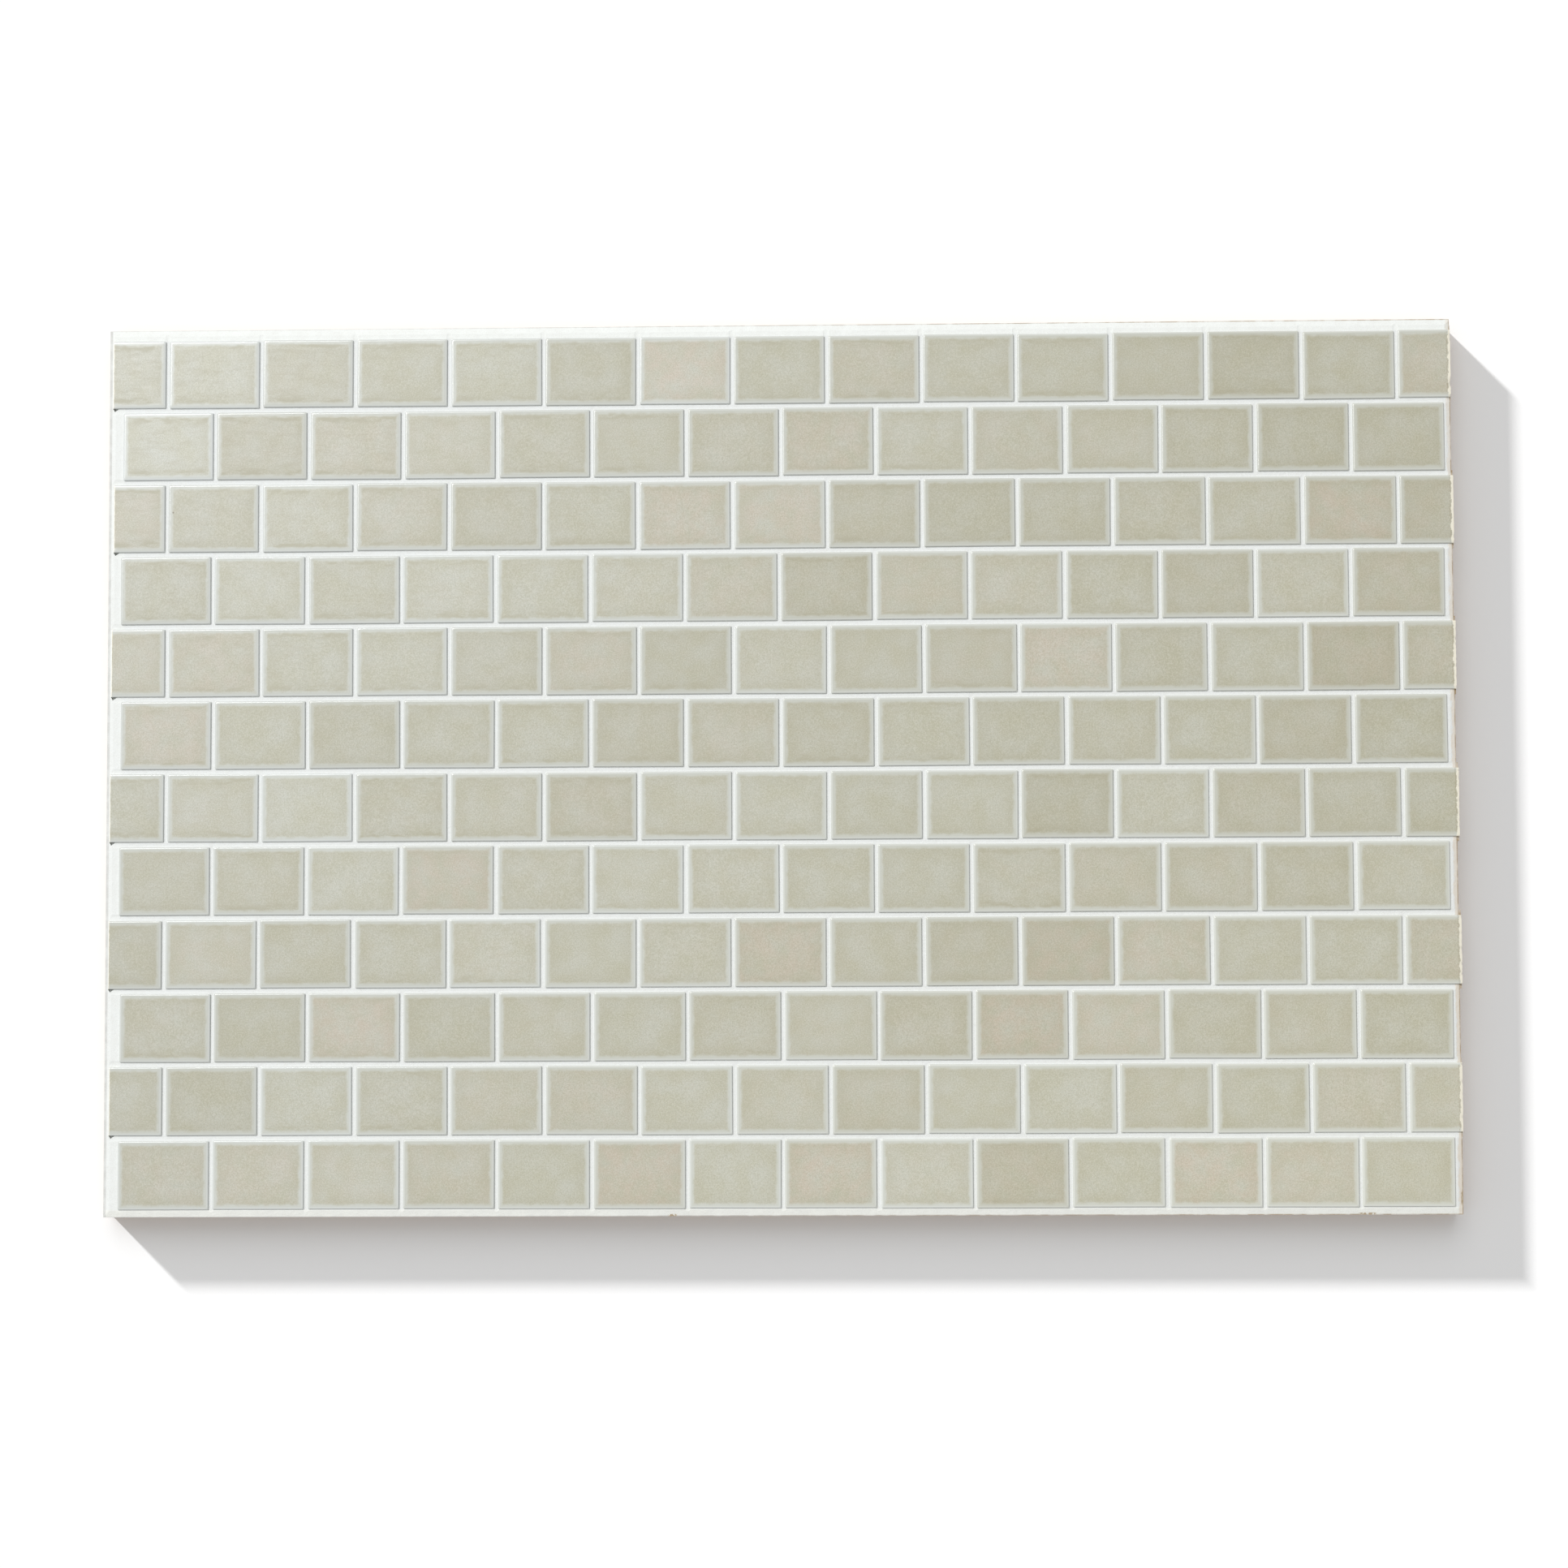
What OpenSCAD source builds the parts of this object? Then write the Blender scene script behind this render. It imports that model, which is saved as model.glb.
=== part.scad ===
// Tile board: a plywood panel faced with small glazed tiles in running bond.
// Lengths are in millimetres. The board lies flat with its tiles up. X runs along the
// courses, Y points to the top course, and the origin is under the middle of the whole board.

/* [Tiles] */
// Length of a whole tile along its course
tile_w = 50.8; // [40:0.1:60]
// Height of a tile across its course
tile_h = 38.1; // [30:0.1:50]
// Thickness of a tile, from its back to its glazed face
tile_t = 8; // [6:0.5:12]
// Radius of a tile's upright corners
tile_corner_r = 0.8; // [0.4:0.1:1.5]
// Width of the soft shoulder that runs round a glazed face
shoulder_w = 3; // [2:0.1:4]
// Fall of the shoulder, from the glazed face to the side wall
shoulder_drop = 1; // [0.6:0.1:1.5]

/* [Courses] */
// Number of courses. The first, at the top, is a course with cut tiles at both ends
courses = 12; // [2:1:12]
// Number of whole tiles in a course that has no cut tiles
tiles_per_course = 14; // [3:1:14]
// Width of the upright joints, between the tiles of one course
upright_joint = 2.35; // [2:0.05:4]
// Width of the bed joints, between two courses
bed_joint = 2.8; // [2:0.05:4]
// Furthest that a whole course is started off its place, in X
course_error = 0.6; // [0:0.05:0.6]
// Furthest that a hand-set tile then lies off its place, in X and in Y
setting_error = 0.25; // [0:0.05:0.4]
// Furthest that a hand-set tile is turned, in degrees
setting_turn = 0.2; // [0:0.05:0.3]

/* [Margins] */
// Grout between the left edge and the first whole tile
left_margin = 8; // [6:0.1:12]
// Grout between the last whole tile and the right edge
right_margin = 4.6; // [4.4:0.1:8]
// Grout above the first course
top_margin = 6.5; // [4.4:0.1:10]
// Grout below the last course
bottom_margin = 4.4; // [4.2:0.1:10]
// Grout left of a cut tile
cut_inset = 2.9; // [2:0.1:4]
// How far a cut tile runs past the right edge
cut_overhang = 0.8; // [0.7:0.1:2]
// Furthest that a sawn end lies off its place
cut_error = 0.6; // [0:0.05:0.6]

/* [Layers] */
// Thickness of the plywood panel
board_t = 12.7; // [9:0.1:19]
// Thickness of the adhesive bed under the tiles
adhesive_t = 1.5; // [1:0.1:3]
// How far the grout lies below the tiles' side walls
grout_set = 0.2; // [0.1:0.05:0.5]
// Depth of the hollow that tooling leaves along the middle of a joint
joint_hollow = 0.3; // [0.2:0.05:0.5]
// Radius of the round tool that hollows the joints. It is wider than a joint
joint_tool_r = 6; // [5:0.5:10]
// Width of the slope along the outer edge of the grout
edge_slope_w = 3.6; // [3:0.1:3.6]
// Fall of that slope at the outer edge
edge_slope_drop = 1; // [0.4:0.1:1.6]

/* [Pits] */
// Width of the pit that the grout leaves under the corner of each tile cut at the left
pit_w = 3.2; // [2:0.1:4]
// Height of a pit, down from the tile
pit_h = 1.8; // [1:0.1:2.2]
// Depth of a pit, below the face of the grout
pit_depth = 3; // [1:0.5:5]
// How far a pit starts outside the tile's sawn end
pit_inset = 0.6; // [0:0.1:1]

/* [Hidden] */
// Extra length of a cutting shape, so that it leaves no skin
over = 1;
// Steps round a circle
$fn = 48;
// Seeds of the errors of single tiles, of whole courses and of the sawn ends
setting_seed = 41;
course_seed = 54519;
cut_seed = 7;
// An upright joint is tooled first and a little shallower, so that it runs out in the bed joint
upright_share = 0.8;

pitch_x = tile_w + upright_joint;
pitch_y = tile_h + bed_joint;
board_w = left_margin + tiles_per_course * pitch_x - upright_joint + right_margin;
board_h = top_margin + courses * pitch_y - bed_joint + bottom_margin;
board_top = board_h / 2;
board_bottom = -board_h / 2;
adhesive_z = board_t;
tile_z = adhesive_z + adhesive_t;
grout_t = tile_t - shoulder_drop - grout_set;
grout_top = tile_z + grout_t;
// Radius of the arc that leaves the face level and falls by shoulder_drop over shoulder_w
shoulder_r = (shoulder_w * shoulder_w + shoulder_drop * shoulder_drop) / (2 * shoulder_drop);

// Errors either way from zero, in whole hundredths, so that edges that meet share one number
function errors(most, number, seed) =
    [for (error = rands(-most, most, number, seed)) round(error * 100) / 100];

// One set of setting errors for each place in a course, and one sawn end on each side
places = tiles_per_course + 1;
shifts_x = errors(setting_error, courses * places, setting_seed);
shifts_y = errors(setting_error, courses * places, setting_seed + 1);
turns = errors(setting_turn, courses * places, setting_seed + 2);
course_shifts = errors(course_error, courses, course_seed);
left_cuts = errors(cut_error, courses, cut_seed);
right_cuts = errors(cut_error, courses, cut_seed + 1);

// The whole board reaches from its left edge to the furthest sawn end, and is centred on X
overhangs = [for (course = [1:2:courses]) cut_overhang + right_cuts[course - 1]];
overall_w = board_w + max(overhangs);
board_left = -overall_w / 2;
board_right = board_left + board_w;

function has_cut_tiles(course) = course % 2 == 1;
function last_place(course) = has_cut_tiles(course) ? tiles_per_course : tiles_per_course - 1;
function course_y(course) = board_top - top_margin - tile_h / 2 - (course - 1) * pitch_y;

// Left edge of the whole tile at a place, before its setting error
function whole_left(course, place) =
    board_left + left_margin + course_shifts[course - 1]
    + (place - (has_cut_tiles(course) ? 0.5 : 0)) * pitch_x;

function is_left_cut(course, place) = has_cut_tiles(course) && place == 0;
function is_right_cut(course, place) = has_cut_tiles(course) && place == tiles_per_course;

function left_cut_x(course) = board_left + cut_inset + left_cuts[course - 1];
function right_cut_x(course) = board_right + cut_overhang + right_cuts[course - 1];

function tile_left(course, place) =
    is_left_cut(course, place) ? left_cut_x(course) : whole_left(course, place);
function tile_right(course, place) =
    is_right_cut(course, place) ? right_cut_x(course) : whole_left(course, place) + tile_w;
function tile_length(course, place) = tile_right(course, place) - tile_left(course, place);

function is_cut(course, place) = is_left_cut(course, place) || is_right_cut(course, place);
function index_of(course, place) = (course - 1) * places + place;
function shift_x(course, place) = is_cut(course, place) ? 0 : shifts_x[index_of(course, place)];
function turn_of(course, place) = is_cut(course, place) ? 0 : turns[index_of(course, place)];

function two_digits(n) = n < 10 ? str("0", n) : str(n);
function course_name(course) = str("tile_course_", two_digits(course));

// Puts its children at a tile's middle, with the tile's setting error
module at_tile(course, place) {
    translate([
        (tile_left(course, place) + tile_right(course, place)) / 2 + shift_x(course, place),
        course_y(course) + shifts_y[index_of(course, place)]
    ])
        rotate(turn_of(course, place))
            children();
}

// What rounds off one corner of an outline: the corner is at the origin, its body at -X and -Y
module corner_cut(r) {
    difference() {
        translate([-r, -r])
            square(r + over);
        translate([-r, -r])
            circle(r);
    }
}

// Plan outline of a tile, centred. A sawn end keeps its sharp corners
module tile_outline(length, sawn_left, sawn_right) {
    difference() {
        square([length, tile_h], center = true);
        for (side = [-1, 1])
            if (!(side < 0 ? sawn_left : sawn_right))
                for (end = [-1, 1])
                    mirror([side < 0 ? 1 : 0, 0])
                        mirror([0, end < 0 ? 1 : 0])
                            translate([length / 2, tile_h / 2])
                                corner_cut(tile_corner_r);
    }
}

// What the shoulder takes off a section whose face ends at the origin, with its body at -X
module shoulder_cut() {
    difference() {
        translate([-shoulder_w, -shoulder_drop])
            square([shoulder_w + over, shoulder_drop + over]);
        translate([-shoulder_w, -shoulder_r])
            circle(shoulder_r);
    }
}

// Section through a tile, centred on X with its back on the X axis
module tile_section(length, sawn_left, sawn_right) {
    difference() {
        translate([-length / 2, 0])
            square([length, tile_t]);
        if (!sawn_right)
            translate([length / 2, tile_t])
                shoulder_cut();
        if (!sawn_left)
            translate([-length / 2, tile_t])
                mirror([1, 0])
                    shoulder_cut();
    }
}

// One pressed tile, on its back and centred
module tile(length, sawn_left = false, sawn_right = false) {
    intersection() {
        translate([0, tile_h / 2 + over, 0])
            rotate([90, 0, 0])
                linear_extrude(tile_h + 2 * over)
                    tile_section(length, sawn_left, sawn_right);
        translate([-length / 2 - over, 0, 0])
            rotate([90, 0, 90])
                linear_extrude(length + 2 * over)
                    tile_section(tile_h, false, false);
        translate([0, 0, -over])
            linear_extrude(tile_t + 2 * over)
                tile_outline(length, sawn_left, sawn_right);
    }
}

// All the tiles of one course
module tile_course(course) {
    color("#c4c1b2")
        translate([0, 0, tile_z])
            for (place = [0:last_place(course)])
                at_tile(course, place)
                    tile(
                        tile_length(course, place),
                        is_left_cut(course, place),
                        is_right_cut(course, place)
                    );
}

// Plan of the board, with the grout that follows each cut tile past the right edge
module grout_outline() {
    translate([board_left, board_bottom])
        square([board_w, board_h]);
    for (course = [1:courses])
        if (has_cut_tiles(course))
            translate([board_right - over, course_y(course) - tile_h / 2 - bed_joint])
                square([over + right_cut_x(course) - board_right, tile_h + 2 * bed_joint]);
}

// Plan of the pocket that a tile sits in. At the right edge it is open
module pocket(course, place) {
    run_out = is_right_cut(course, place) ? over : 0;
    at_tile(course, place)
        translate([run_out / 2, 0])
            tile_outline(
                tile_length(course, place) + run_out,
                is_left_cut(course, place),
                is_right_cut(course, place)
            );
}

// The round tool that hollows a joint: along X, sunk to a depth below z = 0
module joint_tool(length, depth) {
    translate([length, 0, joint_tool_r - depth])
        rotate([0, -90, 0])
            cylinder(h = length, r = joint_tool_r);
}

module bed_hollows() {
    for (course = [1:courses - 1])
        translate([board_left - over, course_y(course) - pitch_y / 2, grout_top])
            joint_tool(overall_w + 2 * over, joint_hollow);
}

// The hollows of the first and last courses run on over the margins
module upright_hollows() {
    for (course = [1:courses]) {
        low = course == courses ? board_bottom - over : course_y(course) - pitch_y / 2;
        high = course == 1 ? board_top + over : course_y(course) + pitch_y / 2;
        for (place = [0:last_place(course) - 1])
            translate([whole_left(course, place) + tile_w + upright_joint / 2, low, grout_top])
                rotate([0, 0, 90])
                    joint_tool(high - low, joint_hollow * upright_share);
    }
}

// A wedge along X that takes the slope off an edge: the edge is at y = 0, the grout at -Y
module slope_wedge(length) {
    translate([-length / 2, 0, grout_top])
        rotate([90, 0, 90])
            linear_extrude(length)
                polygon([
                    [-edge_slope_w, 0],
                    [over, -edge_slope_drop * (1 + over / edge_slope_w)],
                    [over, over],
                    [-edge_slope_w, over]
                ]);
}

module edge_slopes() {
    long_side = board_w + 4 * over;
    short_side = board_h + 4 * over;
    translate([0, board_top, 0])
        slope_wedge(long_side);
    translate([0, board_bottom, 0])
        rotate([0, 0, 180])
            slope_wedge(long_side);
    translate([board_left, 0, 0])
        rotate([0, 0, 90])
            slope_wedge(short_side);
    translate([board_right + cut_overhang, 0, 0])
        rotate([0, 0, -90])
            slope_wedge(short_side);
}

// Small holes where the grout was not pressed in, under the sawn ends at the left
module pits() {
    for (course = [1:courses])
        if (has_cut_tiles(course))
            at_tile(course, 0)
                translate([
                    -tile_length(course, 0) / 2 - pit_inset,
                    -tile_h / 2,
                    grout_top - pit_depth
                ])
                    linear_extrude(pit_depth + over)
                        polygon([
                            [0, 0],
                            [pit_w / 3, -pit_h],
                            [pit_w, -pit_h / 5],
                            [pit_w, pit_h / 5],
                            [pit_inset, pit_h / 5]
                        ]);
}

module grout() {
    color("#ebede9")
        difference() {
            translate([0, 0, tile_z])
                linear_extrude(grout_t)
                    difference() {
                        grout_outline();
                        for (course = [1:courses], place = [0:last_place(course)])
                            pocket(course, place);
                    }
            bed_hollows();
            upright_hollows();
            edge_slopes();
            pits();
        }
}

module adhesive_bed() {
    color("#d8d8d3")
        translate([board_left, board_bottom, adhesive_z])
            cube([board_w, board_h, adhesive_t]);
}

module plywood_panel() {
    color("#c2a077")
        translate([board_left, board_bottom, 0])
            cube([board_w, board_h, board_t]);
}

plywood_panel();
adhesive_bed();
grout();
for (course = [1:courses])
    tile_course(course);
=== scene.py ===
# %% [markdown]
# # A board of glazed tiles
# The real object is a plywood panel faced with small satin-glazed wall tiles in running bond, with
# pale grout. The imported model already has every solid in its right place. This lesson gives those
# solids the fine form and the finishes that they have on the real board. Everything is in metres
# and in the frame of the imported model, so nothing has to be moved or fitted.

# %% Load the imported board
import math

import bmesh
import bpy
import numpy as np
from mathutils import Matrix, Vector, noise


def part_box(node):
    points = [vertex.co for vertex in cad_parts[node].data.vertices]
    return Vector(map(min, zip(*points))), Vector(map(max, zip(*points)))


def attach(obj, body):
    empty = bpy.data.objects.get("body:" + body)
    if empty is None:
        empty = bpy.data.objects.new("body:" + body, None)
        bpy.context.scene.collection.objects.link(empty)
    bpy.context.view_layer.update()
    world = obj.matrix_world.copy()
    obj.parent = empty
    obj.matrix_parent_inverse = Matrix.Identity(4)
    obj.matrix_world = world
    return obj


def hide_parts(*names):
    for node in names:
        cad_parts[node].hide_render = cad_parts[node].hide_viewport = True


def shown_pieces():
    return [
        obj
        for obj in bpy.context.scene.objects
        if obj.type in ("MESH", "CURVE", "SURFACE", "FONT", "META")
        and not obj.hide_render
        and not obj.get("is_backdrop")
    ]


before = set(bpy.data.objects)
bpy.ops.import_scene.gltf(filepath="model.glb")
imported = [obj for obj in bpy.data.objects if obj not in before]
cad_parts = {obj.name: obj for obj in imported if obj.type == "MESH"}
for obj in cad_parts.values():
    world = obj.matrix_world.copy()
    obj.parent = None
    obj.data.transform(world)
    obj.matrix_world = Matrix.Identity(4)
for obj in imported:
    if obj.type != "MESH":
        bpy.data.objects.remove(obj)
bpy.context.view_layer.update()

MM = 0.001
print("Nodes:", len(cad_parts))

# %% [markdown]
# ## Where each tile lies
# Each course of tiles is one node with 14 or 15 separate solids. We could type in 174 places, but
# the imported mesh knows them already. A bmesh knows which points share an edge, so we start at any
# point, walk over the connected ones until there are no more, and have found one solid.

# %% Find the separate solids of a course
COURSES = [name for name in sorted(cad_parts) if name.startswith("tile_course_")]


def solids_of(node):
    """Points of each separate solid of a node in millimetres, from left to right."""
    joined = bmesh.new()
    joined.from_mesh(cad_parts[node].data)
    bmesh.ops.remove_doubles(joined, verts=joined.verts, dist=1e-7)
    found, seen = [], set()
    for start in joined.verts:
        if start in seen:
            continue
        seen.add(start)
        island, waiting = [], [start]
        while waiting:
            point = waiting.pop()
            island.append(point.co / MM)
            for edge in point.link_edges:
                other = edge.other_vert(point)
                if other not in seen:
                    seen.add(other)
                    waiting.append(other)
        found.append(np.array(island))
    joined.free()
    return sorted(found, key=lambda points: points[:, 0].mean())


solids = {course: solids_of(course) for course in COURSES}
print("Tiles in each course:", [len(found) for found in solids.values()])

# %% [markdown]
# ## How large each tile is
# A tiler never sets two tiles quite alike, so each one is a little turned. The tightest box round
# a tile's points gives its size and its turn. There are formulas for the tightest box, but trying
# 121 small turns and keeping the best is easier to follow and takes no time.

# %% Measure every tile
TURNS = np.radians(np.linspace(-0.3, 0.3, 121))


def measure_tile(points):
    """Middle, length, height and turn of the tightest box round a solid's points."""
    best = None
    for turn in TURNS:
        cos, sin = math.cos(turn), math.sin(turn)
        along = points[:, 0] * cos + points[:, 1] * sin
        across = points[:, 1] * cos - points[:, 0] * sin
        area = np.ptp(along) * np.ptp(across)
        if best is None or area < best["area"]:
            a, b = (along.max() + along.min()) / 2, (across.max() + across.min()) / 2
            best = {
                "area": area,
                "middle": (a * cos - b * sin, a * sin + b * cos),
                "length": np.ptp(along),
                "height": np.ptp(across),
                "turn": turn,
                "low": points[:, 2].min(),
                "top": points[:, 2].max(),
            }
    return best


tiles_of = {course: list(map(measure_tile, found)) for course, found in solids.items()}
WHOLE = tiles_of[COURSES[1]][3]
print("Tiles:", sum(map(len, tiles_of.values())))
print("A whole tile:", round(WHOLE["length"], 2), "by", round(WHOLE["height"], 2), "mm")

# %% [markdown]
# ## The form of a tile's face
# A pressed and glazed tile has a nearly level face. It is crowned by about a tenth of a
# millimetre, and at the edge it rolls over into a soft shoulder, because the glaze draws back as
# it melts. A bevel modifier gives an even round, but this shoulder falls slowly at first and then
# fast. So the height comes from powers of the distance from the edge: a square for the crown, and
# a high power for the shoulder, which makes it no more than a millimetre wide to the eye.

# %% The fall of the face
SHOULDER_WIDTH, SHOULDER_FALL, SHOULDER_POWER = 3.0, 0.4, 12
CROWN_WIDTH, CROWN_FALL = 7.0, 0.09
BLEND_POWER = 8  # the higher, the squarer the shoulder turns at a corner


def near_edge(side, end, width):
    """From 0 at this width inside the edge to 1 at the edge, blended round the corners."""
    a, b = np.clip(1 - side / width, 0, 1), np.clip(1 - end / width, 0, 1)
    return np.minimum((a**BLEND_POWER + b**BLEND_POWER) ** (1 / BLEND_POWER), 1)


def face_fall(side, end):
    """How far the face has fallen at these distances from a side and from an end, in mm."""
    crown = CROWN_FALL * near_edge(side, end, CROWN_WIDTH) ** 2
    shoulder = SHOULDER_FALL * near_edge(side, end, SHOULDER_WIDTH) ** SHOULDER_POWER
    return crown + shoulder


for distance in (0.0, 0.5, 1.0, 3.0):
    print("Fall", distance, "mm from the edge:", round(float(face_fall(distance, 20.0)), 3), "mm")

# %% [markdown]
# ## A grid over the face
# To show such a small shoulder, the mesh needs close lines near the edges and few in the middle.
# A subdivision surface would add lines everywhere, and there are 174 tiles. So we place the lines
# ourselves. The grid has one more use: each point knows its distance from the edge, which the
# glaze needs later for its colour.

# %% Grid lines
GLAZED_LINES = (0, 0.15, 0.35, 0.65, 1.05, 1.6, 2.3, 3.2, 4.3, 5.6, 7.2)
SAWN_LINES = (0, 0.35, 0.8, 1.5, 3.0)
FACE_SPACING, CUT_SPACING = 5.5, 0.9  # mm between lines in the middle, and up along a cut


def grid_lines(length, sawn_low, sawn_high, spacing):
    """Places of the grid lines from 0 to length, closer at the edges."""
    low = SAWN_LINES if sawn_low else GLAZED_LINES
    high = SAWN_LINES if sawn_high else GLAZED_LINES
    inner = length - low[-1] - high[-1]
    steps = max(2, round(inner / spacing))
    middle = low[-1] + inner * np.arange(1, steps) / steps
    return np.concatenate([low, middle, length - np.array(high[::-1])])


print("Lines along a whole tile:", len(grid_lines(WHOLE["length"], False, False, FACE_SPACING)))

# %% [markdown]
# ## Rounded corners
# Seen from above, a tile's corners are rounded by about half a millimetre. Rather than cut new
# corners into the grid, we move the points that are there: rings of a square near the corner are
# pressed onto quarter circles, so that the lines stay joined.

# %% Press the corners round
CORNER_RADIUS = 0.6


def press_corners(x, y, length, height, low_sawn, high_sawn):
    """Moves grid points near glazed corners onto rounded ones."""
    from_side_x = np.minimum(x, length - x)
    from_side_y = np.minimum(y, height - y)
    sawn = np.where(x < length / 2, low_sawn, high_sawn)
    a, b = CORNER_RADIUS - from_side_x, CORNER_RADIUS - from_side_y
    near = (a > 0) & (b > 0) & ~sawn
    shrink = np.where(near, np.maximum(a, b) / np.maximum(np.hypot(a, b), 1e-9), 1)
    new_x, new_y = CORNER_RADIUS - a * shrink, CORNER_RADIUS - b * shrink
    x = np.where(near, np.where(x < length / 2, new_x, length - new_x), x)
    y = np.where(near, np.where(y < height / 2, new_y, height - new_y), y)
    return x, y


corner_x, corner_y = press_corners(np.zeros(1), np.zeros(1), 50.0, 38.0, False, False)
print("The corner point moves to", corner_x.round(2), corner_y.round(2), "mm")

# %% [markdown]
# ## Saw marks
# The tiles at the ends of every other course were cut with a wet saw. The left ends came out
# clean. The right ones have chips, which bite into the face and into the line of the cut. Noise
# along the cut says where they are: fine noise for the single chips and a broad one that leaves
# some stretches whole.

# %% Chips along a cut
CHIP_SIZE, STRETCH_SIZE = 1.7, 5.2  # mm, of the chips and of the stretches that have them
CHIP_REACH, STEP_REACH = 1.4, 0.8  # mm from the cut, of a chip and of a step in its line
CLEAN_CUT = 0.12  # how rough a left cut is, where a right one is 1


def saw_marks(y, end, from_cut, at_high_end, seed):
    """Depth of the chips in the face, and how far the cut steps in, both in mm."""
    rough = 1.0 if at_high_end else CLEAN_CUT
    fine = [noise.noise((v / CHIP_SIZE, seed, 4)) for v in y]
    broad = [noise.noise((v / STRETCH_SIZE, seed, 9)) for v in y]
    bite = np.array(fine) + 0.8 * np.array(broad)
    chip = rough * np.clip(bite - 0.1, 0, 0.6) * np.clip(1 - from_cut / CHIP_REACH, 0, 1)
    in_line = np.clip(1 - from_cut / STEP_REACH, 0, 1) * (end > 0.5)
    return chip, rough * np.clip(bite, 0, 1) * 0.5 * in_line


along_cut = np.linspace(1, 37, 40)
chips = saw_marks(along_cut, np.full(40, 5.0), np.zeros(40), True, 3.0)[0]
print("Deepest chip on a trial cut:", round(float(chips.max()), 2), "mm")

# %% [markdown]
# ## One closed mesh for a tile
# The face alone would be a sheet. Side walls run from its rim down to the adhesive, and one face
# closes the back, so that the tile is a solid form from every side. Walls that follow a cut are
# marked, because they show bare clay and not glaze.

# %% Close a tile below its face


def walls_and_back(top, wide, tall, on_cut):
    """The rim's point numbers, the wall's points, the faces, and which faces are bare clay."""
    number = np.arange(wide * tall).reshape(tall, wide)
    rim = np.concatenate([number[0, :-1], number[:-1, -1], number[-1, :0:-1], number[:0:-1, 0]])
    wall = top[rim].copy()
    wall[:, 2] = 0
    foot = len(top) + np.arange(len(rim))
    pairs = list(zip(range(len(rim)), np.roll(np.arange(len(rim)), -1)))
    faces = [(rim[j], rim[i], foot[i], foot[j]) for i, j in pairs] + [tuple(foot[::-1])]
    clay = [bool(on_cut[rim[i]] and on_cut[rim[j]]) for i, j in pairs] + [True]
    return rim, wall, faces, clay


def set_down(tile, points):
    """Turns a tile's points by its turn and moves them to its place on the board."""
    cos, sin = math.cos(tile["turn"]), math.sin(tile["turn"])
    return np.column_stack([
        tile["middle"][0] + points[:, 0] * cos - points[:, 1] * sin,
        tile["middle"][1] + points[:, 0] * sin + points[:, 1] * cos,
        tile["low"] + points[:, 2],
    ])


corner = set_down(WHOLE, np.array([[-WHOLE["length"] / 2, -WHOLE["height"] / 2, 0.0]]))[0]
print("Lower left corner of the fourth tile in course 2:", corner.round(2), "mm")

# %% [markdown]
# ## The face of a tile
# The grid lines are laid over the tile, and each point falls by what the crown, the shoulder and
# the chips ask for. The face also gets a wave a few hundredths of a millimetre high. No one would
# measure it, but it bends the reflections as real glaze does. Each point keeps its distance from
# the edge, from the upper or lower end and from a cut, for the glaze to use.

# %% Shape the face
FAR = 99.0  # mm, the distance from a cut on a tile that has none
WAVE_HEIGHT = 0.03  # mm
CHIP_DEPTH = 1.1  # mm, of a chip of strength 1


def distances(x, y, length, height, sawn_low, sawn_high):
    """How far each point is from a glazed side, from an end and from a cut, in mm."""
    far = np.full(x.shape, FAR)
    side = np.minimum(far if sawn_low else x, far if sawn_high else length - x)
    from_cut = np.minimum(x if sawn_low else far, length - x if sawn_high else far)
    return side, np.minimum(y, height - y), from_cut


def shape_face(tile, sawn_low, sawn_high, seed):
    """The face as a grid: its points, what each point keeps, and its columns and rows."""
    length, height = tile["length"], tile["height"]
    sawn = sawn_low or sawn_high
    columns = grid_lines(length, sawn_low, sawn_high, FACE_SPACING)
    rows = grid_lines(height, False, False, CUT_SPACING if sawn else FACE_SPACING)
    x, y = (part.ravel() for part in np.meshgrid(columns, rows))
    side, end, from_cut = distances(x, y, length, height, sawn_low, sawn_high)
    edge = np.minimum(side, end)
    wave = np.array([noise.noise((u / 11, v / 7, seed)) for u, v in zip(x, y)])
    inside = np.clip(edge / SHOULDER_WIDTH, 0, 1)
    fall = face_fall(side, end) + (WAVE_HEIGHT + WAVE_HEIGHT * wave) * inside
    chip = step = np.zeros(x.shape)
    if sawn:
        chip, step = saw_marks(y, end, from_cut, sawn_high, seed)
    x = x + np.where(x < length / 2, step, -step)
    x, y = press_corners(x, y, length, height, sawn_low, sawn_high)
    z = tile["top"] - tile["low"] - fall - CHIP_DEPTH * chip
    top = np.column_stack([x - length / 2, y - height / 2, z])
    kept = {"edge_mm": edge, "end_mm": end, "cut_mm": from_cut, "chipped": chip}
    return top, kept, len(columns), len(rows)


print("Points on a whole face:", len(shape_face(WHOLE, False, False, 1)[0]))

# %% [markdown]
# ## Put the tile together
# Now the face gets its walls and its back. An attribute covers the whole mesh, so the walls need
# values too. They count as edge and take the colour of the lip, apart from those on a cut.

# %% Build one tile as points, faces and values
CLAY_REACH = 0.7  # mm from a cut, within which a wall is bare clay
RIGHT_RIM, LEFT_RIM = 1.6, 0.4  # mm of bare clay on the face beside a cut


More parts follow.
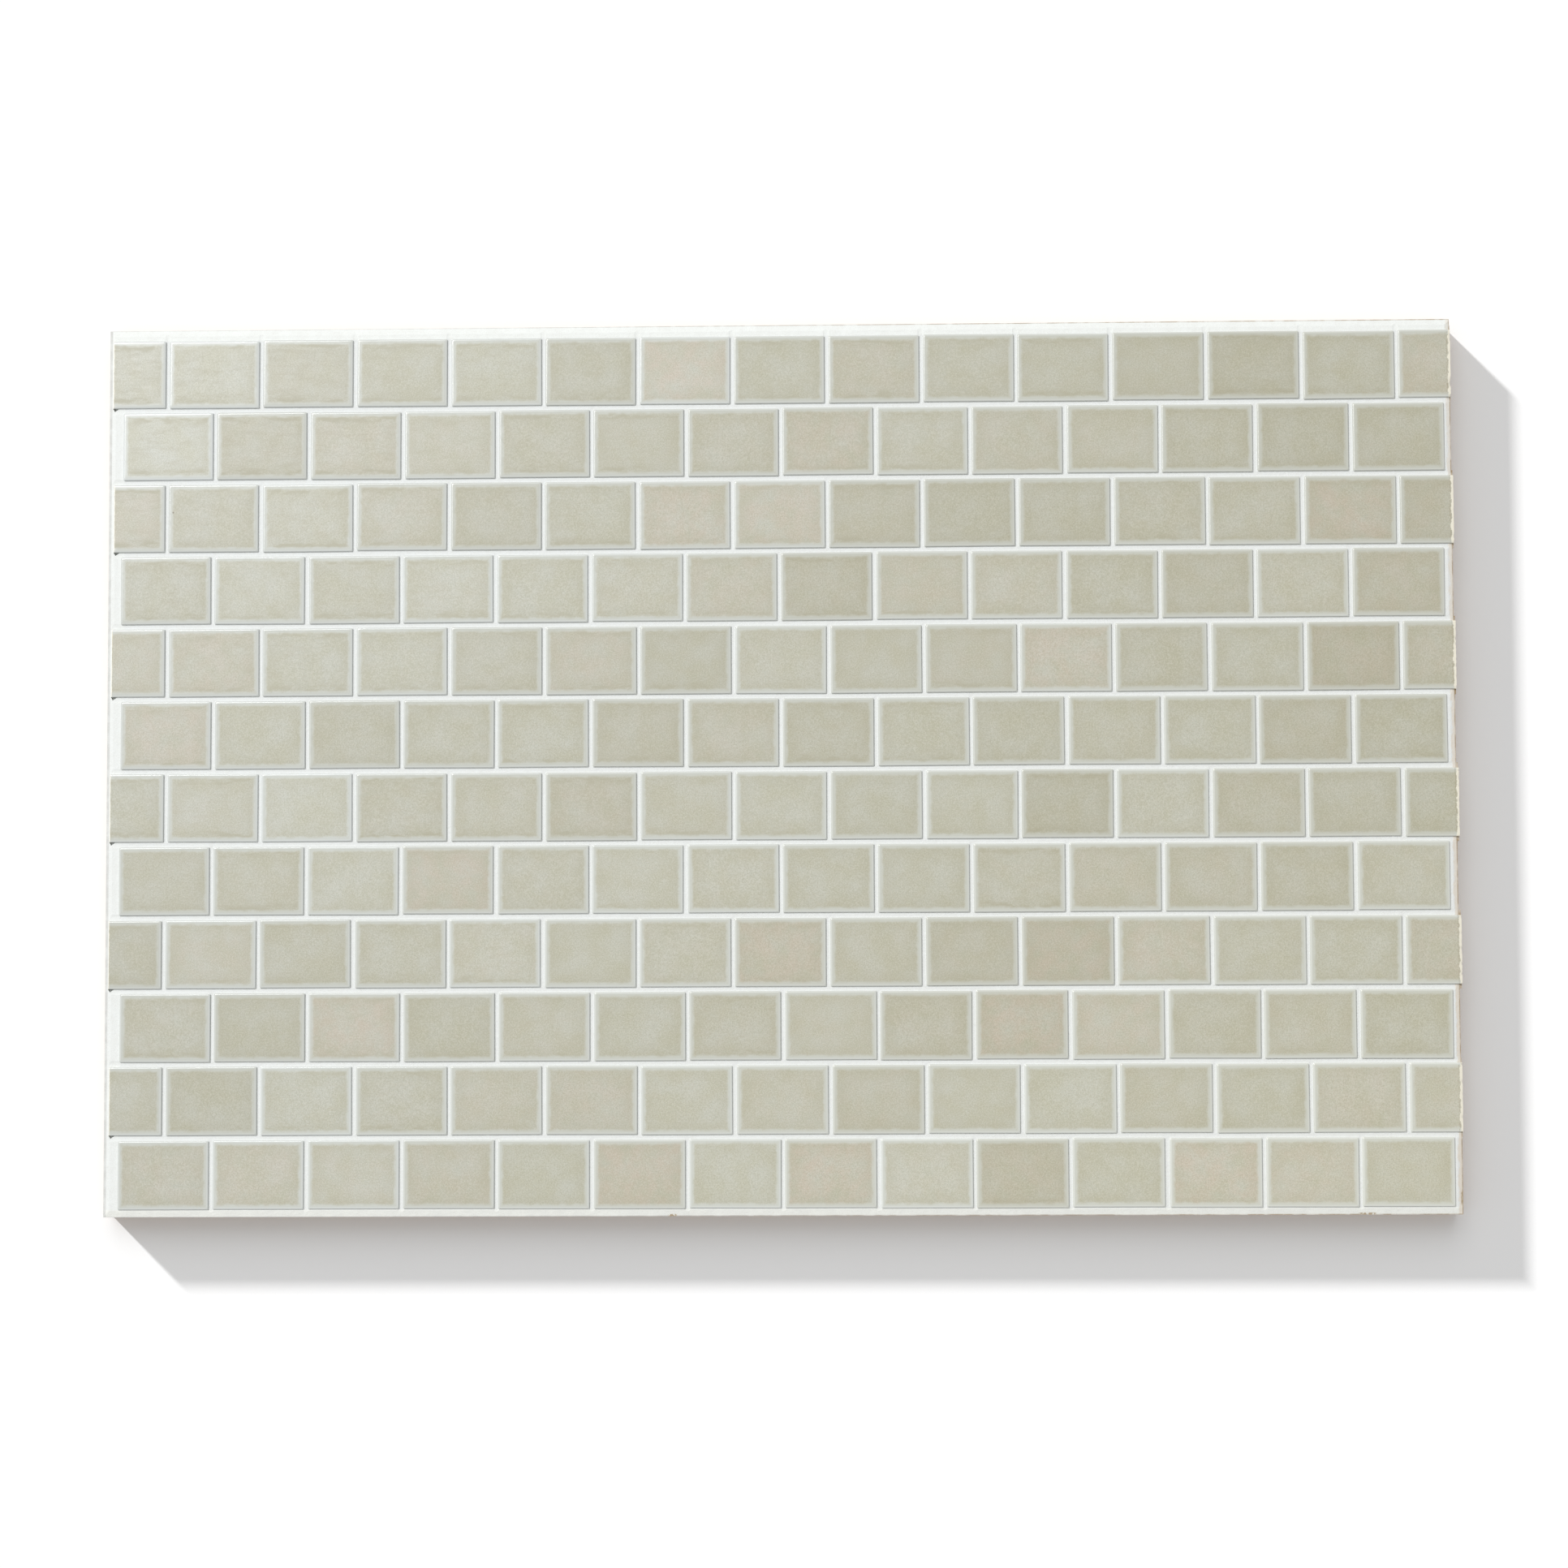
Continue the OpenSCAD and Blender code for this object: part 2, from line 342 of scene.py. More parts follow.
def build_tile(tile, sawn_low, sawn_high, seed):
    """One tile in millimetres: its points, faces, point values and bare faces."""
    top, kept, wide, tall = shape_face(tile, sawn_low, sawn_high, seed)
    clay_from = tile["length"] / 2 - CLAY_REACH
    on_cut = (sawn_low & (top[:, 0] < -clay_from)) | (sawn_high & (top[:, 0] > clay_from))
    corners = [r * wide + c for r in range(tall - 1) for c in range(wide - 1)]
    faces = [(n, n + 1, n + wide + 1, n + wide) for n in corners]
    rim, wall, closing, clay = walls_and_back(top, wide, tall, on_cut)
    points, none = np.vstack([top, wall]), np.zeros(len(wall))
    values = {name: np.concatenate([numbers, none]) for name, numbers in kept.items()}
    values["cut_mm"] = np.concatenate([kept["cut_mm"], kept["cut_mm"][rim]])
    values["rim_mm"] = np.full(len(points), RIGHT_RIM if sawn_high else LEFT_RIM)
    values["face_x"], values["face_y"] = points[:, 0], points[:, 1]
    return set_down(tile, points), faces + closing, values, [False] * len(faces) + clay


trial = build_tile(WHOLE, False, False, 1)
print("A whole tile has", len(trial[0]), "points and", len(trial[1]), "faces")

# %% [markdown]
# ## Helpers for node trees
# A finish is a tree of small nodes. Made in code, each node takes several lines, and the idea gets
# lost among them. These helpers add and link one node in one line.

# %% Helpers that add one node


def put(tree, kind, settings=None, **links):
    """Adds a node. Links go by socket name with _ for a space, or by in0, in1 for the number."""
    node = tree.nodes.new(kind)
    for key, value in (settings or {}).items():
        setattr(node, key, value)
    for key, value in links.items():
        numbered = key.startswith("in") and key[2:].isdigit()
        socket = node.inputs[int(key[2:]) if numbered else key.replace("_", " ")]
        if isinstance(value, bpy.types.NodeSocket):
            tree.links.new(value, socket)
        else:
            socket.default_value = value
    return node


def math_node(tree, operation, a, b=None, c=None, clamp=False):
    """A Math node. Returns its output socket."""
    values = {f"in{i}": v for i, v in enumerate((a, b, c)) if v is not None}
    settings = {"operation": operation, "use_clamp": clamp}
    return put(tree, "ShaderNodeMath", settings, **values).outputs[0]


def ramp(tree, value, low, high, to_low=0.0, to_high=1.0):
    """A smooth step of value between low and high."""
    settings = {"interpolation_type": "SMOOTHSTEP"}
    ends = {"From_Min": low, "From_Max": high, "To_Min": to_low, "To_Max": to_high}
    return put(tree, "ShaderNodeMapRange", settings, Value=value, **ends).outputs[0]


def vector_node(tree, operation, a, b):
    """A Vector Math node on a vector and three plain numbers."""
    return put(tree, "ShaderNodeVectorMath", {"operation": operation}, in0=a, in1=b)


def mix_colour(tree, share, a, b, blend="MIX"):
    """Mixes two colours. Returns the output socket."""
    node = tree.nodes.new("ShaderNodeMix")
    node.data_type, node.blend_type = "RGBA", blend
    sockets = {s.identifier: s for s in node.inputs}
    for name, value in (("Factor_Float", share), ("A_Color", a), ("B_Color", b)):
        if isinstance(value, bpy.types.NodeSocket):
            tree.links.new(value, sockets[name])
        else:
            sockets[name].default_value = value
    return next(s for s in node.outputs if s.identifier == "Result_Color")


print("Helpers:", [f.__name__ for f in (put, math_node, ramp, vector_node, mix_colour)])

# %% [markdown]
# ## Clouds and flecks
# Nearly every finish here needs soft clouds or fine flecks, at its own size in millimetres. Each
# is a node group with named inputs, so that a finish only states its own sizes. A group puts out
# a mask from 0 to 1, and the material decides what to do with it. The noise has four dimensions:
# the fourth is a seed, which gives every tile another part of the same noise.

# %% Build the groups for clouds and flecks
VECTOR, FLOAT = "NodeSocketVector", "NodeSocketFloat"


def new_group(name, inputs, output):
    """A node group with these float or vector inputs and one output, and its two end nodes."""
    tree = bpy.data.node_groups.new(name, "ShaderNodeTree")
    for label, kind, value in inputs:
        socket = tree.interface.new_socket(name=label, in_out="INPUT", socket_type=kind)
        if value is not None:
            socket.default_value = value
    tree.interface.new_socket(name=output[0], in_out="OUTPUT", socket_type=output[1])
    return tree, tree.nodes.new("NodeGroupInput").outputs, tree.nodes.new("NodeGroupOutput").inputs


def noise_at(tree, given, detail, roughness):
    """Noise with features of the size that the group was given."""
    scale = math_node(tree, "DIVIDE", 1.0, given["Size mm"])
    node = put(tree, "ShaderNodeTexNoise", {"noise_dimensions": "4D"}, Vector=given["Place"],
               W=given["Seed"], Scale=scale, Detail=detail, Roughness=roughness)
    return node.outputs["Fac"]


PLACE_SIZE_SEED = [("Place", VECTOR, None), ("Size mm", FLOAT, 10.0), ("Seed", FLOAT, 0.0)]
cloud_inputs = PLACE_SIZE_SEED + [("Detail", FLOAT, 2.0)]
clouds, given, out = new_group("clouds", cloud_inputs, ("Value", FLOAT))
soft = noise_at(clouds, given, given["Detail"], 0.55)
clouds.links.new(ramp(clouds, soft, 0.3, 0.7), out["Value"])

fleck_inputs = PLACE_SIZE_SEED + [("Share", FLOAT, 0.3)]
flecks, given, out = new_group("flecks", fleck_inputs, ("Mask", FLOAT))
limit = math_node(flecks, "SUBTRACT", 0.72, math_node(flecks, "MULTIPLY", given["Share"], 0.5))
over = math_node(flecks, "SUBTRACT", noise_at(flecks, given, 1.5, 0.6), limit)
flecks.links.new(ramp(flecks, over, -0.03, 0.07), out["Mask"])
print("Groups:", clouds.name, "and", flecks.name)

# %% [markdown]
# ## Where a point is
# The grout and the wood take their pattern from the place on the whole board. A tile's glaze takes
# it from the place on the tile's own face, because the pattern was fired with the tile and has to
# stop at its edge.

# %% Build the groups for places
place_on_tile, _, out = new_group("place_on_tile", [], ("Place", VECTOR))
face_x = put(place_on_tile, "ShaderNodeAttribute", {"attribute_name": "face_x"}).outputs["Fac"]
face_y = put(place_on_tile, "ShaderNodeAttribute", {"attribute_name": "face_y"}).outputs["Fac"]
joined = put(place_on_tile, "ShaderNodeCombineXYZ", X=face_x, Y=face_y)
place_on_tile.links.new(joined.outputs[0], out["Place"])

place_on_board, _, out = new_group("place_on_board", [], ("Place", VECTOR))
in_metres = put(place_on_board, "ShaderNodeTexCoord").outputs["Object"]
in_mm = put(place_on_board, "ShaderNodeVectorMath", {"operation": "SCALE"},
            Vector=in_metres, Scale=1 / MM)
place_on_board.links.new(in_mm.outputs[0], out["Place"])


def use(tree, group, **links):
    """Places a node group in a tree and sets its inputs. Returns its first output."""
    return put(tree, "ShaderNodeGroup", {"node_tree": group}, **links).outputs[0]


print("Groups:", place_on_tile.name, "and", place_on_board.name)

# %% [markdown]
# ## Start a material
# Colours are easiest to think of as the 0 to 255 values of a screen, but Blender works in linear
# values, so a small function translates. An attribute node reads a value that was kept with the
# points of a mesh.

# %% Colours, materials and attributes


def colour(red, green, blue):
    """A colour from its 0 to 255 screen values, as the linear value that Blender works in."""
    parts = [v / 255 for v in (red, green, blue)]
    linear = [v / 12.92 if v <= 0.04045 else ((v + 0.055) / 1.055) ** 2.4 for v in parts]
    return (*linear, 1.0)


def new_material(name, roughness, specular=0.5):
    """A material with a Principled BSDF and nothing else yet."""
    material = bpy.data.materials.new(name)
    material.use_nodes = True
    tree = material.node_tree
    shader = tree.nodes["Principled BSDF"]
    shader.inputs["Roughness"].default_value = roughness
    shader.inputs["Specular IOR Level"].default_value = specular
    return material, tree, shader


def attribute(tree, name):
    """A value kept with a mesh's points."""
    return put(tree, "ShaderNodeAttribute", {"attribute_name": name}).outputs["Fac"]


def bump(tree, shader, strength, distance, height):
    """Small relief on the shader's surface."""
    node = put(tree, "ShaderNodeBump", Strength=strength, Distance=distance, Height=height)
    tree.links.new(node.outputs["Normal"], shader.inputs["Normal"])


print("Middle grey, 128, is", round(colour(128, 128, 128)[0], 3), "in linear values")

# %% [markdown]
# ## What the glaze knows at a point
# The glaze was brushed or dipped and then melted, so its edges are never ruled lines. The distance
# from the edge is bent by a soft cloud before anything is drawn with it. The streaks of the brush
# are clouds stretched five times along the tile.

# %% Values that the whole glaze shares


def values_on_tile(tree):
    """Place, seed, streaks, and plain and bent distances from the edge, as sockets."""
    place = use(tree, place_on_tile)
    seed, edge = attribute(tree, "seed"), attribute(tree, "edge_mm")
    stretched = vector_node(tree, "MULTIPLY", place, (0.2, 1.0, 1.0)).outputs[0]
    streak = use(tree, clouds, Place=stretched, Size_mm=2.6,
                 Seed=math_node(tree, "ADD", seed, 13.0), Detail=3.0)
    wander = use(tree, clouds, Place=place, Size_mm=5.0, Seed=seed, Detail=4.0)
    bend = math_node(tree, "MULTIPLY_ADD", wander, 0.8, -0.4)  # up to 0.4 mm either way
    far_bend = math_node(tree, "MULTIPLY", bend, 3.0)
    return {
        "place": place, "seed": seed, "edge": edge, "streak": streak,
        "bent_edge": math_node(tree, "ADD", edge, bend),
        "bent_end": math_node(tree, "ADD", attribute(tree, "end_mm"), far_bend),
    }


print("Values kept with each tile point:", sorted(trial[2]))

# %% [markdown]
# ## The field of the glaze
# Over most of the tile the glaze is beige, with broad grey-green clouds, now and then a faint pink
# one, and a grain of dark and light flecks well under a millimetre in size. A few brown specks are
# iron in the clay that burnt through. One tile near the left has a small dark pit.

# %% Colour the field
BEIGE, GREY_GREEN, PINK = colour(185, 183, 161), colour(192, 192, 177), colour(199, 185, 167)
GRAINS = (  # size in mm, seed, share, strength and colour
    (0.6, 0.0, 0.42, 0.36, colour(162, 158, 134)),
    (0.8, 7.0, 0.4, 0.26, colour(218, 215, 201)),
    (0.9, 21.0, -0.16, 0.7, colour(126, 106, 82)),
)


def glaze_field(tree, at):
    """The colour of the glaze away from the edges."""
    broad = use(tree, clouds, Place=at["place"], Size_mm=16.0, Seed=at["seed"], Detail=3.0)
    field = mix_colour(tree, broad, BEIGE, GREY_GREEN)
    rosy = use(tree, clouds, Place=at["place"], Size_mm=9.0,
               Seed=math_node(tree, "ADD", at["seed"], 40.0), Detail=4.0)
    pink_share = math_node(tree, "MULTIPLY", rosy, attribute(tree, "warmth"))
    field = mix_colour(tree, pink_share, field, PINK)
    for size, seed, share, strength, tint in GRAINS:
        grain = use(tree, flecks, Place=at["place"], Size_mm=size,
                    Seed=math_node(tree, "ADD", at["seed"], seed), Share=share)
        field = mix_colour(tree, math_node(tree, "MULTIPLY", grain, strength), field, tint)
    return field


print("Field from", BEIGE[:3], "to", GREY_GREEN[:3])

# %% [markdown]
# ## Pools, brush marks and painted shade
# Where the brush turned, near the upper and lower ends, it left more glaze, which fired darker.
# A fainter dark ring follows the whole edge. Both are masks that mix in one darker colour. The
# streaks and the darker ends are partly painted shade, where the sheen of the glaze falls away.
# How strong the marks are is kept with each tile, because those at the upper left, where the sheen
# is, show them most.

# %% Darken the pools and streaks
POOLED_AND_PAINTED_SHADE, STREAKED_AND_PAINTED_SHADE, PIT = colour(174, 170, 147), colour(176, 168, 146), colour(120, 106, 84)
PIT_PLACE = (-22.8, 3.4, 0.0)  # mm from the middle of the pitted tile


def brush_marks_and_painted_shade(tree, at, field):
    """Darkens the field along the brush's streaks and where glaze pooled, partly as painted shade.
    """
    brushed = attribute(tree, "brushed")
    # streaks: real glaze marks, deepened as painted shade where the sheen falls away
    lines = math_node(tree, "MULTIPLY", ramp(tree, at["streak"], 0.5, 0.95), brushed)
    field = mix_colour(tree, math_node(tree, "MULTIPLY", lines, 0.22), field, STREAKED_AND_PAINTED_SHADE)
    ring = math_node(tree, "MULTIPLY", ramp(tree, at["bent_edge"], 12.0, 2.5), 0.26)
    ends = math_node(tree, "MULTIPLY", ramp(tree, at["bent_end"], 8.0, 3.4),
                     ramp(tree, at["streak"], 0.25, 0.75))
    # the ring is real pooled glaze; the darker ends are partly painted shade
    pooled_and_painted_shade = math_node(tree, "MAXIMUM", ring, math_node(tree, "MULTIPLY", ends, brushed))
    field = mix_colour(tree, pooled_and_painted_shade, field, POOLED_AND_PAINTED_SHADE)
    off_pit = vector_node(tree, "DISTANCE", at["place"], PIT_PLACE).outputs["Value"]
    pit = math_node(tree, "MULTIPLY", ramp(tree, off_pit, 0.75, 0.35), attribute(tree, "pitted"))
    return mix_colour(tree, pit, field, PIT)


print("Pooled glaze:", POOLED_AND_PAINTED_SHADE[:3])

# %% [markdown]
# ## The pale band
# Towards the shoulder the glaze thins and the white body shines through. First comes a cool pale
# band about 3 mm wide, then a still paler lip on the shoulder itself. The two give each tile its
# framed look.

# %% Thin the glaze at the edges
BAND, LIP = colour(204, 206, 196), colour(218, 220, 213)


def thin_edges(tree, at, field):
    """Lays the pale band and the paler lip over the field."""
    band = math_node(tree, "MULTIPLY", ramp(tree, at["bent_edge"], 3.5, 1.4), 0.85)
    lip = math_node(tree, "MULTIPLY", ramp(tree, at["edge"], 1.5, 0.3), 0.8)
    return mix_colour(tree, lip, mix_colour(tree, band, field, BAND), LIP)


def own_tone(tree, field):
    """Multiplies a tile's whole colour by its tone with painted light. Cool tiles get more green
    and blue.
    """
    # tone and coolness carry a painted light gradient and a painted sheen besides each tile's own
    # colour
    tone, cool = attribute(tree, "tone"), attribute(tree, "coolness")
    green = math_node(tree, "MULTIPLY", tone, math_node(tree, "MULTIPLY_ADD", cool, 0.25, 0.75))
    # the painted sheen adds blue and green at the upper left
    blue = math_node(tree, "MULTIPLY", tone, cool)
    tint = put(tree, "ShaderNodeCombineColor", Red=tone, Green=green, Blue=blue).outputs[0]
    return mix_colour(tree, 1.0, field, tint, "MULTIPLY")


print("Band:", BAND[:3], "lip:", LIP[:3])

# %% [markdown]
# ## Bare clay along a cut
# A saw flakes the glaze off along its cut, and a ragged rim of clay shows. On the right ends it is
# over a millimetre wide, and a fine crack runs inside it in places. It belongs to the glaze
# material and not to the clay one, because its ragged line lies in the middle of the face.

# %% Draw the bare rim
RIM_CLAY, CRACK = colour(231, 226, 209), colour(150, 134, 106)


def bare_rim(tree, at, field):
    """Shows clay where the saw flaked the glaze off, and a crack beside it."""
    rim = attribute(tree, "rim_mm")
    ragged = use(tree, clouds, Place=at["place"], Size_mm=3.5, Seed=at["seed"], Detail=5.0)
    reach = math_node(tree, "MULTIPLY", rim, math_node(tree, "MULTIPLY_ADD", ragged, -0.7, 1.25))
    past_rim = math_node(tree, "SUBTRACT", attribute(tree, "cut_mm"), reach)
    off_crack = math_node(tree, "ABSOLUTE", math_node(tree, "SUBTRACT", past_rim, 0.7))
    crack = math_node(tree, "MULTIPLY", ramp(tree, off_crack, 0.3, 0.1),
                      ramp(tree, ragged, 0.35, 0.6))
    crack = math_node(tree, "MULTIPLY", crack, ramp(tree, rim, 0.8, RIGHT_RIM, 0.0, 0.4))
    field = mix_colour(tree, crack, field, CRACK)
    bare = math_node(tree, "MAXIMUM", ramp(tree, past_rim, 0.0, -0.2),
                     ramp(tree, attribute(tree, "chipped"), 0.05, 0.12))
    return mix_colour(tree, bare, field, RIM_CLAY)


print("Rim of bare clay on a right end:", RIGHT_RIM, "mm, and on a left one:", LEFT_RIM, "mm")

# %% [markdown]
# ## The glaze's surface
# Satin glaze scatters a reflection, but not evenly: streaks are a little duller, and the thin lip
# is smoother and catches a bright line. A faint skin of waves and grit breaks up the reflection.
# The relief calms down at the edge, where melted glaze ran smooth.

# %% Build the glaze material


def satin_surface(tree, at, shader):
    """Roughness and relief of the glaze."""
    skin = use(tree, clouds, Place=at["place"], Size_mm=2.4, Seed=at["seed"], Detail=2.0)
    grit = use(tree, flecks, Place=at["place"], Size_mm=0.7, Seed=at["seed"], Share=0.5)
    height = math_node(tree, "MULTIPLY_ADD", grit, 0.3, math_node(tree, "MULTIPLY", skin, 0.7))
    calm = ramp(tree, at["edge"], 1.0, 3.5, 0.25, 1.0)
    bump(tree, shader, 0.05, 0.0004, math_node(tree, "MULTIPLY", height, calm))
    dull = ramp(tree, at["streak"], 0.0, 1.0, 0.34, 0.42)
    smooth_lip = math_node(tree, "MULTIPLY", ramp(tree, at["edge"], 2.6, 1.2), 0.18)
    tree.links.new(math_node(tree, "SUBTRACT", dull, smooth_lip), shader.inputs["Roughness"])


def make_glaze():
    """The glaze of all tiles, with their bare rims."""
    material, tree, shader = new_material("satin_glaze", 0.36)
    at = values_on_tile(tree)
    field = thin_edges(tree, at, brush_marks_and_painted_shade(tree, at, glaze_field(tree, at)))
    tree.links.new(bare_rim(tree, at, own_tone(tree, field)), shader.inputs["Base Color"])
    satin_surface(tree, at, shader)
    return material


GLAZE = make_glaze()
print("Glaze nodes:", len(GLAZE.node_tree.nodes))

# %% [markdown]
# ## The sawn side
# The cut side of a tile shows the pale clay body, coarse and with no gloss. It needs a material
# of its own, because the glaze's bands and gloss stop at the cut.

# %% Build the bare clay material


def make_clay():
    """The clay body where a saw cut it."""
    material, tree, shader = new_material("bare_clay", 0.85, 0.3)
    place = use(tree, place_on_board)
    cloud = use(tree, clouds, Place=place, Size_mm=3.0, Detail=4.0)
    body = mix_colour(tree, cloud, colour(226, 218, 200), colour(240, 235, 222))
    sand = math_node(tree, "MULTIPLY", use(tree, flecks, Place=place, Size_mm=0.5, Share=0.3), 0.3)
    body = mix_colour(tree, sand, body, colour(196, 180, 152))
    tree.links.new(body, shader.inputs["Base Color"])
    bump(tree, shader, 0.5, 0.0003, use(tree, flecks, Place=place, Size_mm=0.6, Share=0.5))
    return material


CLAY = make_clay()
print("Clay nodes:", len(CLAY.node_tree.nodes))

# %% [markdown]
# ## A character for every tile
# No two tiles of a batch fire alike. Each gets its own tone, and darker ones are also browner.
# Painted light drifts over the board on top of the batch: the tone carries a painted light
# gradient, lighter towards the lower right, and the coolness a painted sheen that cools the upper
# left. The streaks are strongest at the upper left, partly as painted shade, and the tiles grow
# warmer and plainer towards the right. The numbers come from a seeded generator, so that the board
# is the same each time.

# %% Give each tile its character
FIELD_WIDTH, FIELD_HEIGHT = 750.0, 490.0  # mm, the part of the board that the tiles cover
chance = np.random.default_rng(20)


def tile_character(tile):
    """Tone, coolness, warmth, brush marks and seed of a tile; tone, coolness and marks hold painted
    light.
    """
    x, y = tile["middle"]
    across, down = (x + FIELD_WIDTH / 2) / FIELD_WIDTH, (FIELD_HEIGHT / 2 - y) / FIELD_HEIGHT
    own = chance.normal(0, 0.024)
    warmth = np.clip(chance.exponential(0.14 + 0.06 * (across + down)), 0, 0.75)
    # the streaks' drift is painted shade, strongest at the upper left where the sheen is
    brushed = np.clip(chance.normal(0.85 - 0.38 * (across + down), 0.15), 0.2, 0.9)
    return {
        # the tone's drift with across and down is a painted light gradient, lighter towards the
        # lower right
        "tone": 0.93 - 0.03 * across + 0.15 * across * down**2 + own,
        # the coolness's drift with place is a painted sheen that cools the upper left
        "coolness": 0.995 + 0.09 * max(0, 0.9 - across) * (1 - 0.3 * down) + 0.5 * own,
        "warmth": warmth,
        "brushed": brushed,
        "seed": chance.uniform(0, 900),
    }


characters = {course: [tile_character(tile) for tile in tiles_of[course]] for course in COURSES}
characters["tile_course_03"][1]["pitted"] = 1.0  # the second tile of the third course
tones = [own["tone"] for course in COURSES for own in characters[course]]
print("Tones from", round(min(tones), 3), "to", round(max(tones), 3))

# %% [markdown]
# ## Lay the courses
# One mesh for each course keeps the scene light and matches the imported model's pieces. The values
# of all tiles are joined in the same order as their points and kept on the mesh as attributes, so
# that two materials can draw all 174 tiles. Courses with 15 tiles have a cut one at each end.

# %% Build the twelve courses
TILES_WITH_CUTS = 15  # tiles in a course that has cut ones


def join_tiles(course):
    """Points, faces, values and bare faces of a whole course."""
    tiles = tiles_of[course]
    cut_ends = len(tiles) == TILES_WITH_CUTS
    points, faces, values, bodies = [], [], {}, []
    for place, (tile, character) in enumerate(zip(tiles, characters[course])):
        sawn_low = cut_ends and place == 0
        sawn_high = cut_ends and place == len(tiles) - 1
        own_points, own_faces, own_values, own_body = build_tile(
            tile, sawn_low, sawn_high, character["seed"])
        first = sum(map(len, points))
        points.append(own_points)
        faces += [tuple(int(n) + first for n in face) for face in own_faces]
        bodies += own_body
        for name, number in ({"pitted": 0.0} | character).items():
            own_values[name] = np.full(len(own_points), number)
        for name, numbers in own_values.items():
            values.setdefault(name, []).append(numbers)
    return np.vstack(points), faces, values, bodies


def lay_course(course):
    """The mesh of a course, in place of its node."""
    points, faces, values, bodies = join_tiles(course)
    mesh = bpy.data.meshes.new("glazed_" + course)
    mesh.from_pydata((points * MM).tolist(), [], faces)
    for name, numbers in values.items():
        kept = mesh.attributes.new(name, "FLOAT", "POINT")
        kept.data.foreach_set("value", np.concatenate(numbers).astype(np.float32))
    mesh.materials.append(GLAZE)
    mesh.materials.append(CLAY)
    mesh.polygons.foreach_set("material_index", np.array(bodies, dtype=np.int32))
    mesh.validate()
    mesh.shade_smooth()
    mesh.set_sharp_from_angle(angle=math.radians(45))
    piece = bpy.data.objects.new("glazed_" + course, mesh)
    bpy.context.scene.collection.objects.link(piece)
    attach(piece, "root")
    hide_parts(course)
    return piece


courses = [lay_course(course) for course in COURSES]
triangles = [sum(len(face.vertices) - 2 for face in piece.data.polygons) for piece in courses]
print("Triangles in the courses:", sum(triangles), "and at most", max(triangles), "in one")

# %% [markdown]
# ## The paste of the grout
# Cement grout is pale, matt and sandy. Its solid is right as it is: the joints are hollow along
# the middle, and the margins slope at the outer edge. So the node stays, and only its material is
# new. The joints are a cool off-white. The margins are painted whiter at the top and left, a
# painted highlight where they slope towards the light, and creamier along the foot.

# %% Colour the paste
_, panel_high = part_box("plywood_panel")
RIGHT, TOP = panel_high.x / MM, panel_high.y / MM  # the panel's right and upper edge


def values_on_grout(tree):
    """Place, its parts, a cloud, how cream the paste is, and the nearest edge, as sockets."""
    place = use(tree, place_on_board)
    parts = put(tree, "ShaderNodeSeparateXYZ", Vector=place).outputs
    across = math_node(tree, "DIVIDE", parts["X"], FIELD_WIDTH)
    down = math_node(tree, "DIVIDE", parts["Y"], -FIELD_HEIGHT)
    diagonal = math_node(tree, "ADD", across, down)
    cream = math_node(tree, "MULTIPLY_ADD", diagonal, 0.5, 0.5, clamp=True)
    cloud = use(tree, clouds, Place=place, Size_mm=7.0, Detail=4.0)
    from_side = math_node(tree, "SUBTRACT", RIGHT, math_node(tree, "ABSOLUTE", parts["X"]))
    from_end = math_node(tree, "SUBTRACT", TOP, math_node(tree, "ABSOLUTE", parts["Y"]))
    return {
        "place": place, "x": parts["X"], "y": parts["Y"], "z": parts["Z"],
        "across": across, "cream": cream, "cloud": cloud,
        "nearest": math_node(tree, "MINIMUM", from_side, from_end),
    }


def grout_paste(tree, at):
    """The clean paste: joints, margins with a painted highlight at top and left, and a creamier
    foot.
    """
    from_top = math_node(tree, "SUBTRACT", TOP, at["y"])
    from_left = math_node(tree, "ADD", at["x"], RIGHT)
    from_foot = math_node(tree, "ADD", at["y"], TOP)
    # painted highlight: the top and left margins are whiter where their slope faces the light
    painted_highlight_margin = math_node(tree, "MAXIMUM", ramp(tree, from_top, 7.0, 5.5),
                       ramp(tree, from_left, 9.0, 6.0, 0.0, 0.6))
    paste = mix_colour(tree, at["cream"], colour(227, 230, 230), colour(229, 231, 229))
    paste = mix_colour(tree, painted_highlight_margin, paste, colour(237, 240, 237))
    paste = mix_colour(tree, ramp(tree, from_foot, 4.6, 3.4), paste, colour(240, 241, 235))
    dusky = math_node(tree, "MULTIPLY", at["cloud"], 0.35)
    return mix_colour(tree, dusky, paste, colour(224, 225, 221))


print("Right edge of the panel at", round(RIGHT, 2), "mm, upper edge at", round(TOP, 2), "mm")

# %% [markdown]
# ## Stains and chips of the grout
# A strip along the right edge is stained tan by the wood below. The outermost rim is darker,
# grey on the left and brown on the lower right, and crumbs are missing in four places. The
# darkening depends on the height too, so that the side wall of the grout stays plain. The left
# edge lies 1.25 mm further out than the right one, so the rim is that much wider there.

# %% Stain the edges
# Place in x and y and reach of each patch of missing crumbs, in mm
CRUMBLED = ((324, -249, 6.0), (375, -240, 5.0), (376, -196, 3.0), (-60, -249, 3.0))


def tan_strip(tree, at, paste):
    """The strip along the right edge."""
    bend = math_node(tree, "MULTIPLY_ADD", at["cloud"], 1.6, -0.8)
    from_right = math_node(tree, "SUBTRACT", RIGHT, math_node(tree, "ADD", at["x"], bend))
    share = math_node(tree, "MULTIPLY", ramp(tree, from_right, 2.6, 1.8),
                      ramp(tree, at["cream"], 0.2, 0.9, 0.25, 0.8))
    return mix_colour(tree, share, paste, colour(226, 216, 201))


